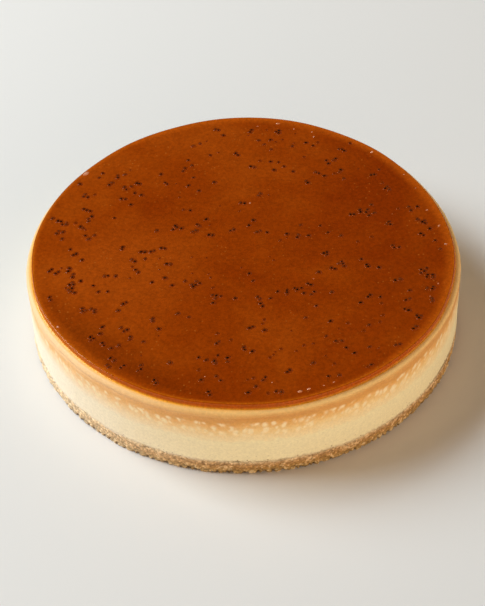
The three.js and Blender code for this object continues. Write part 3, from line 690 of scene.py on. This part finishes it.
# Poppy seeds: whole blue-black seeds that were stirred into the caramel. They floated up in clumps as
# it was poured, and each lies sunk to just over its middle, with a coat of caramel drawn up round it.
# Each row here is a clump's middle, its reach and its number of seeds.
SEED_CLUMPS_MM = [
    (-13, 107, 1.5, 2), (-9, 101, 0, 1), (-23, 94, 0, 1), (-27, 92, 0, 1), (-17, 83, 1, 1),
    (-1, 83, 1.4, 2), (-30, 79, 0, 1), (-28, 74, 0, 1), (-32, 71, 1.2, 2), (-27, 63, 0, 1),
    (-46, 67, 0, 1), (-43, 59, 1.8, 2), (-30, 56, 0, 1), (-15, 58, 0, 1), (-24, 51, 0, 1),
    (-80, 70, 0, 1), (-82, 66, 0, 1), (-71, 67, 1.2, 2), (-67, 68, 0, 1), (-75, 60, 1.3, 2),
    (-67, 56, 1.3, 2), (-63, 57, 0, 1), (-59, 60, 1.6, 2), (-61, 51, 0, 1), (-57, 49, 0, 1),
    (-67, 46, 1.3, 2), (-63, 41, 0, 1), (-93, 61, 0, 1), (-89, 51, 2.4, 3), (-88, 38, 2, 3),
    (-85, 32, 0, 1), (-87, 29, 1.3, 2), (-108, 32, 0, 1), (-104, 29, 1.3, 2), (-101, 26, 2, 2),
    (-102, 20, 1.5, 2), (-104, 18, 1.2, 1), (-101, 14, 0, 1), (-90, 23, 1.3, 2), (-88, 16, 0, 1),
    (-83, 16, 0, 1), (-86, 13, 0, 1), (-72, 30, 0, 1), (-48, 18, 0, 1), (-37, 20, 1.8, 3),
    (-34, 19, 0, 1), (-24, 21, 1.2, 2), (-20, 26, 0, 1), (-27, 16, 1.3, 2), (-18, 12, 2.4, 2),
    (-5, 16, 1.2, 2), (-29, 34, 0, 1), (1, 38, 1.8, 2), (-96, 5, 0, 1), (-94, 0, 1.3, 2),
    (-67, 3, 1.6, 2), (-55, 1, 1.6, 2), (-50, 1, 1.6, 2), (-44, 2, 1.8, 2), (-89, -4, 0, 1),
    (-96, -11, 1.4, 2), (-107, -12, 1.3, 2), (-102, -13, 1.3, 2), (-94, -17, 1.2, 2), (-89, -21, 0, 1),
    (-94, -23, 1.9, 3), (-94, -28, 2, 3), (-92, -30, 0, 1), (-106, -34, 1.8, 2), (-76, -18, 1.3, 2),
    (-70, -18, 0, 1), (-82, -25, 0, 1), (-79, -30, 0, 1), (-74, -30, 0, 1), (-64, -39, 1.3, 2),
    (-86, -44, 2, 3), (-82, -44, 2, 3), (-68, -45, 0, 1), (-60, -6, 1.5, 2), (-54, -5, 0, 1),
    (-59, -14, 1.8, 2), (-41, -10, 1.4, 2), (-43, -21, 0, 1), (-50, -24, 0, 1), (-39, -27, 0, 1),
    (-32, -24, 0, 1), (-26, -27, 2.6, 5), (-15, -37, 2.2, 4), (-17, -42, 0, 1), (-5, -39, 0, 1),
    (-36, -49, 0, 1), (-30, -52, 0, 1), (-49, -54, 1.2, 2), (-46, -60, 0, 1), (-76, -57, 0, 1),
    (-77, -62, 0, 1), (-82, -66, 1.8, 3), (-75, -70, 1.2, 2), (-71, -73, 0, 1), (-67, -71, 0, 1),
    (-66, -58, 0, 1), (-64, -61, 1.3, 2), (-61, -66, 1.3, 2), (-54, -69, 0, 1), (-71, -80, 0, 1),
    (-69, -82, 0, 1), (-73, -86, 1.4, 2), (-64, -86, 1.6, 2), (-55, -86, 0, 1), (-56, -89, 1.4, 2),
    (-40, -85, 0, 1), (-48, -98, 1.4, 2), (-15, -72, 1.3, 2), (-1, -77, 1.2, 2), (-25, -82, 0, 1),
    (-21, -84, 0, 1), (-15, -81, 0, 1), (-17, -86, 1.2, 2), (-10, -83, 0, 1), (-10, -86, 0, 1),
    (-24, -98, 0, 1), (-15, -97, 2, 2), (-20, -107, 1.3, 2), (0, -108, 0, 1), (7, 104, 1.4, 2),
    (24, 103, 1.7, 3), (12, 95, 0, 1), (15, 91, 0, 1), (19, 95, 0, 1), (19, 86, 0, 1), (32, 88, 1.2, 1),
    (40, 91, 0, 1), (44, 88, 0, 1), (60, 84, 1.2, 2), (62, 82, 1, 1), (66, 89, 0, 1), (56, 75, 1.2, 2),
    (52, 71, 0, 1), (51, 74, 0, 1), (19, 75, 1.2, 1), (23, 74, 0, 1), (8, 71, 1.2, 2), (20, 67, 0, 1),
    (26, 70, 0, 1), (31, 65, 0, 1), (45, 63, 1.2, 2), (49, 60, 0, 1), (59, 65, 1.2, 2), (60, 57, 0, 1),
    (38, 56, 1.2, 2), (81, 64, 0, 1), (77, 60, 1.2, 2), (84, 47, 1.7, 3), (11, 45, 1.6, 2),
    (63, 26, 1.2, 2), (67, 29, 1.4, 2), (71, 28, 1.4, 2), (74, 33, 0, 1), (75, 26, 0, 1), (72, 24, 0, 1),
    (95, 30, 0, 1), (96, 27, 0, 1), (100, 30, 0, 1), (82, 17, 1.7, 3), (99, 19, 0, 1), (102, 17, 1.7, 3),
    (105, 11, 0, 1), (101, 6, 1.2, 2), (107, 1, 0, 1), (84, -3, 1.8, 3), (7, 23, 1.2, 1),
    (4, 19, 1.2, 1), (9, 14, 1.2, 2), (14, 13, 0, 1), (25, 11, 0, 1), (31, 9, 1.2, 2), (37, 9, 0, 1),
    (33, 18, 0, 1), (44, 17, 0, 1), (48, 11, 0, 1), (55, 8, 0, 1), (109, -6, 0, 1), (46, -7, 1.7, 3),
    (53, -15, 1.7, 3), (55, -17, 0, 1), (48, -18, 0, 1), (50, -19, 0, 1), (41, -21, 0, 1),
    (65, -12, 0, 1), (68, -17, 1.2, 2), (74, -19, 0, 1), (3, -20, 0, 1), (5, -26, 1.2, 1),
    (97, -24, 1.9, 3), (100, -21, 0, 1), (99, -27, 1.2, 2), (102, -27, 1.2, 2), (82, -29, 1, 1),
    (84, -29, 1, 1), (35, -30, 1.2, 2), (31, -33, 0, 1), (28, -34, 1.2, 2), (23, -35, 1.2, 2),
    (18, -35, 0, 1), (32, -37, 0, 1), (36, -38, 1.2, 2), (47, -37, 0, 1), (14, -40, 0, 1),
    (8, -40, 1.6, 2), (10, -45, 1.8, 2), (38, -47, 1.2, 1), (32, -56, 1.2, 1), (45, -59, 0, 1),
    (89, -38, 0, 1), (98, -37, 1.2, 1), (102, -37, 1.2, 2), (87, -45, 1.2, 2), (100, -46, 1.3, 2),
    (67, -41, 1.2, 2), (73, -42, 1.2, 1), (62, -46, 0, 1), (85, -52, 0, 1), (87, -53, 0, 1),
    (92, -59, 1.4, 3), (89, -67, 1.2, 2), (65, -63, 0, 1), (2, -62, 1.4, 2), (10, -64, 0, 1),
    (42, -70, 0, 1), (47, -74, 0, 1), (50, -74, 0, 1), (3, -79, 0, 1), (52, -79, 0, 1), (56, -83, 0, 1),
    (64, -79, 0, 1), (80, -79, 1.6, 2), (34, -89, 0, 1), (21, -94, 1.2, 2), (65, -92, 0, 1),
    (9, -98, 1.2, 2), (4, -104, 0, 1), (15, -108, 1.2, 2), (42, -98, 1, 1), (47, -98, 1, 1),
]
SEED_ROOM_MM = GLAZE_RADIUS / MM - 4.5
SEED_SPACING_MM = 1.7
SEED_SMALLEST_MM = 0.62
SEED_LARGEST_MM = 0.86
SEED_SHAPE = (1.12, 0.92, 0.8)
SEED_DENT = 0.35
SEED_SINK = 0.1
REACH_GROWTH_MM = 0.05
FIRST_DRAW = 77
DRAW_FACTOR = 48271
DRAW_LIMIT = 2147483647


def random_row(start):
    """Random numbers from 0 to 1 by the minimal standard rule, the same on every run."""
    state = start
    while True:
        state = state * DRAW_FACTOR % DRAW_LIMIT
        yield state / DRAW_LIMIT


def clumped_places(clumps, draw):
    """Places in millimetres round the middle of each clump, strayed from it by two draws added, and
    drawn again, with the clump's reach grown a little, where one is too near another or the edge."""
    placed = []
    for middle_x, middle_y, reach, wanted in clumps:
        while wanted:
            x = middle_x + reach * (next(draw) + next(draw) - 1)
            y = middle_y + reach * (next(draw) + next(draw) - 1)
            clear = all(math.hypot(x - other[0], y - other[1]) > SEED_SPACING_MM for other in placed)
            if clear and math.hypot(x, y) < SEED_ROOM_MM:
                placed.append((x, y))
                wanted -= 1
            else:
                reach += REACH_GROWTH_MM
    return placed


def ball(columns, rows):
    """A unit ball: points at each turn and each climb from pole to pole, and its quads and end fans."""
    turn = np.linspace(0, 2 * math.pi, columns, endpoint=False)
    climb = np.linspace(-math.pi / 2, math.pi / 2, rows + 1)[1:-1]
    grid = np.stack([np.outer(np.cos(climb), np.cos(turn)), np.outer(np.cos(climb), np.sin(turn)),
                     np.repeat(np.sin(climb)[:, None], columns, 1)], axis=-1).reshape(-1, 3)
    quads, fans = skin_faces(rows - 1, columns)
    return np.vstack([grid, [0, 0, -1], [0, 0, 1]]), quads, fans


def scatter(name, shape, places, half_sizes, headings):
    """Copies of one shape as a single mesh: each is scaled by its half sizes, turned about the upright
    by its heading and moved to its place, all as whole arrays."""
    points, quads, fans = shape
    scaled = points[None] * half_sizes[:, None, :]
    c, s = np.cos(headings)[:, None], np.sin(headings)[:, None]
    turned = np.stack([scaled[..., 0] * c - scaled[..., 1] * s,
                       scaled[..., 0] * s + scaled[..., 1] * c, scaled[..., 2]], axis=-1)
    vertices = (turned + places[:, None, :]).reshape(-1, 3)
    offsets = (np.arange(len(places)) * len(points))[:, None, None]
    faces = (quads[None] + offsets).reshape(-1, 4).tolist() + (fans[None] + offsets).reshape(-1, 3).tolist()
    return new_piece(name, vertices, faces)


draw = random_row(FIRST_DRAW)
seed_xy = np.array(clumped_places(SEED_CLUMPS_MM, draw))
seed_draws = np.array([(next(draw), next(draw)) for _ in seed_xy])
half = SEED_SMALLEST_MM + seed_draws[:, 0] * (SEED_LARGEST_MM - SEED_SMALLEST_MM)
seed_shape = ball(8, 6)
seed_points = seed_shape[0]
seed_points[:, 1] -= SEED_DENT * np.clip(seed_points[:, 1], 0, 1) * (1 - seed_points[:, 0] ** 2)
seed_places = np.column_stack([seed_xy, GLAZE_TOP / MM - SEED_SINK * half]) * MM
seeds = scatter("poppy_seeds", seed_shape, seed_places,
                half[:, None] * np.array(SEED_SHAPE) * MM, seed_draws[:, 1] * math.pi)

# Poppy seed hull: nearly black and pitted, browned and a little shiny with its coat of caramel.
seed_material, tree, output = new_material("coated_poppy_seed")
where = add_node(tree, "ShaderNodeTexCoord").outputs["Object"]
mix = add_node(tree, "ShaderNodeTexNoise", inputs={"Vector": where, "Scale": 1 / (3 * MM), "Detail": 1.0})
hull = add_node(tree, "ShaderNodeValToRGB", {"stops": [
    (0.4, "#150602"), (0.5, "#381609"), (0.6, "#683216")]}, {"Fac": mix.outputs["Fac"]})
pitting = add_node(tree, "ShaderNodeTexVoronoi", inputs={"Vector": where, "Scale": 1 / (0.22 * MM)})
pit_bump = add_node(tree, "ShaderNodeBump", inputs={
    "Height": pitting.outputs["Distance"], "Strength": 0.4, "Distance": 0.05 * MM})
shader = add_node(tree, "ShaderNodeBsdfPrincipled", inputs={
    "Base Color": hull.outputs["Color"], "Roughness": 0.5, "IOR": 1.45, "Specular IOR Level": 0.1,
    "Specular Tint": linear("#ffb080"), "Normal": pit_bump.outputs["Normal"]})
tree.links.new(shader.outputs[0], output.inputs["Surface"])
seeds.data.materials.append(seed_material)
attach(seeds, "root")

# Menisci: the caramel drawn up round each seed, a low lens that darkens towards the seed. Seeds that
# sank out of sight show only as a like spot, and each row here is the middle of one of them.
SUNK_SEEDS_MM = [
    (-12, 85), (-19, 96), (-37, 58), (-64, 72), (-84, 51), (-35, 46), (-33, 35), (-12, 37), (-1, 32),
    (-99, 28), (-94, 27), (-88, 21), (-18, 21), (-100, -10), (-97, -26), (-61, -11), (-62, -20), (-46, -5),
    (-46, -14), (-28, -5), (-20, -6), (-28, -18), (-19, -19), (-18, -22), (-17, -30), (-46, -65),
    (-55, -79), (-15, -65), (-8, -70), (0, -99), (-25, -91), (6, 100), (17, 105), (34, 100), (22, 93),
    (26, 95), (47, 91), (38, 78), (12, 76), (55, 62), (69, 65), (82, 52), (16, 45), (89, 29), (72, 6),
    (21, 6), (25, 8), (64, 2.5), (33, 91), (15, -7), (17, -10), (-1, -15), (7, -43), (23, -38), (24, -65),
    (9, -59), (10, -56), (54, -61), (49, -65), (71, -61), (73, -56), (62, -67), (73, -47), (14, -82),
    (12, -84), (15, -80), (18, -78), (26, -80), (30, -76), (35, -75), (41, -84), (45, -90), (62, -93),
    (69, -80), (3, -98), (10, -109),
]
MENISCUS_SPREAD = 2.1
MENISCUS_RISE_MM = 0.12
SUNK_HALF_MM = 1.0
SUNK_HALF_CHANGE_MM = 0.3
sunk_xy = np.array(SUNK_SEEDS_MM)
sunk_half = SUNK_HALF_MM + SUNK_HALF_CHANGE_MM * np.sin(7 * sunk_xy[:, 0])
ring_xy = np.vstack([seed_xy, sunk_xy])
ring_half = np.append(half * MENISCUS_SPREAD, sunk_half)
ring_turn = np.append(seed_draws[:, 1] * math.pi, sunk_half * 9)
ring_places = np.column_stack([ring_xy, np.full(len(ring_xy), GLAZE_TOP / MM)]) * MM
lens = ball(12, 4)
menisci = scatter("caramel_menisci", lens, ring_places, np.column_stack([
    1.1 * ring_half, 0.95 * ring_half, np.full(len(ring_xy), MENISCUS_RISE_MM)]) * MM, ring_turn)
outward = np.tile(np.hypot(lens[0][:, 0], lens[0][:, 1]), len(ring_xy))
store_numbers(menisci, "outward", outward)

# Caramel over a dark seed: deep brown over the seed, amber at the ring's edge, and glossy.
meniscus_material, tree, output = new_material("caramel_over_seed")
outward_value = add_node(tree, "ShaderNodeAttribute", {"attribute_name": "outward"}).outputs["Fac"]
ring_tone = add_node(tree, "ShaderNodeValToRGB", {"stops": [
    (0.25, "#682302"), (0.65, "#813002"), (1.0, "#8e3602")]}, {"Fac": outward_value})
shader = add_node(tree, "ShaderNodeBsdfPrincipled", inputs={
    "Base Color": ring_tone.outputs["Color"], "Roughness": 0.2, "IOR": 1.45, "Specular IOR Level": 0.3,
    "Specular Tint": linear("#ffdcb8")})
tree.links.new(shader.outputs[0], output.inputs["Surface"])
menisci.data.materials.append(meniscus_material)
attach(menisci, "root")

# Bubbles: air that rose through the warm caramel and set as small pale blisters, most near the edge.
# Each row is a blister's middle, half its length and the heading of its length in degrees.
BUBBLES_MM = [
    (-89.8, 70.2, 2.2, 50), (26.5, -108.6, 1.4, 10), (31.1, -107.1, 1.1, 20), (38.9, -105.1, 0.6, 20),
    (44.1, -103.0, 0.7, 20), (24.2, 110.4, 1.3, 0), (12.0, 108.5, 0.6, 0), (33.5, 104.5, 0.7, 70),
    (44.2, 101.1, 0.8, 60), (45.0, 96.5, 0.8, 60), (78.4, 80.2, 1.1, 60), (95.2, 58.6, 0.6, 0),
    (100.7, 46.2, 0.6, 60), (105.2, 26.8, 0.8, 30), (110.6, 13.3, 1.0, 50), (112.7, -2.2, 0.8, 0),
    (85.5, 24.5, 0.5, 0), (105.0, -33.5, 0.7, 80), (99.6, -43.0, 0.5, 0), (5.3, 38.6, 0.9, 60),
    (38.0, -26.0, 0.5, 0), (-21.7, -95.8, 0.5, 0), (-99.5, -55.6, 1.0, 130), (12.6, -101.6, 0.5, 0),
]
BLISTER_WIDTH_SHARE = 0.6
BLISTER_RISE_SHARE = 0.45
BLISTER_TALLEST_MM = 0.35
BLISTER_SINK = 0.3
bubble_rows = np.array(BUBBLES_MM)
long_half = bubble_rows[:, 2]
rise = np.minimum(BLISTER_RISE_SHARE * long_half, BLISTER_TALLEST_MM)
bubble_places = np.column_stack([bubble_rows[:, :2], GLAZE_TOP / MM - BLISTER_SINK * rise]) * MM
bubble_halves = np.column_stack([long_half, BLISTER_WIDTH_SHARE * long_half, rise]) * MM
bubbles = scatter("glaze_bubbles", ball(12, 8), bubble_places, bubble_halves, np.radians(bubble_rows[:, 3]))

# Thin caramel skin over air: pale pinkish amber and shiny, its paleness in part a painted highlight.
bubble_material, tree, output = new_material("caramel_blister")
where = add_node(tree, "ShaderNodeTexCoord").outputs["Object"]
mix = add_node(tree, "ShaderNodeTexNoise", inputs={"Vector": where, "Scale": 1 / (3 * MM), "Detail": 1.0})
blister_and_highlight_tone = add_node(tree, "ShaderNodeValToRGB", {"stops": [
    (0.3, "#b8602c"), (0.7, "#d99a78")]}, {"Fac": mix.outputs["Fac"]})
shader = add_node(tree, "ShaderNodeBsdfPrincipled", inputs={
    "Base Color": blister_and_highlight_tone.outputs["Color"], "Roughness": 0.15, "IOR": 1.45})
tree.links.new(shader.outputs[0], output.inputs["Surface"])
bubbles.data.materials.append(bubble_material)
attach(bubbles, "root")
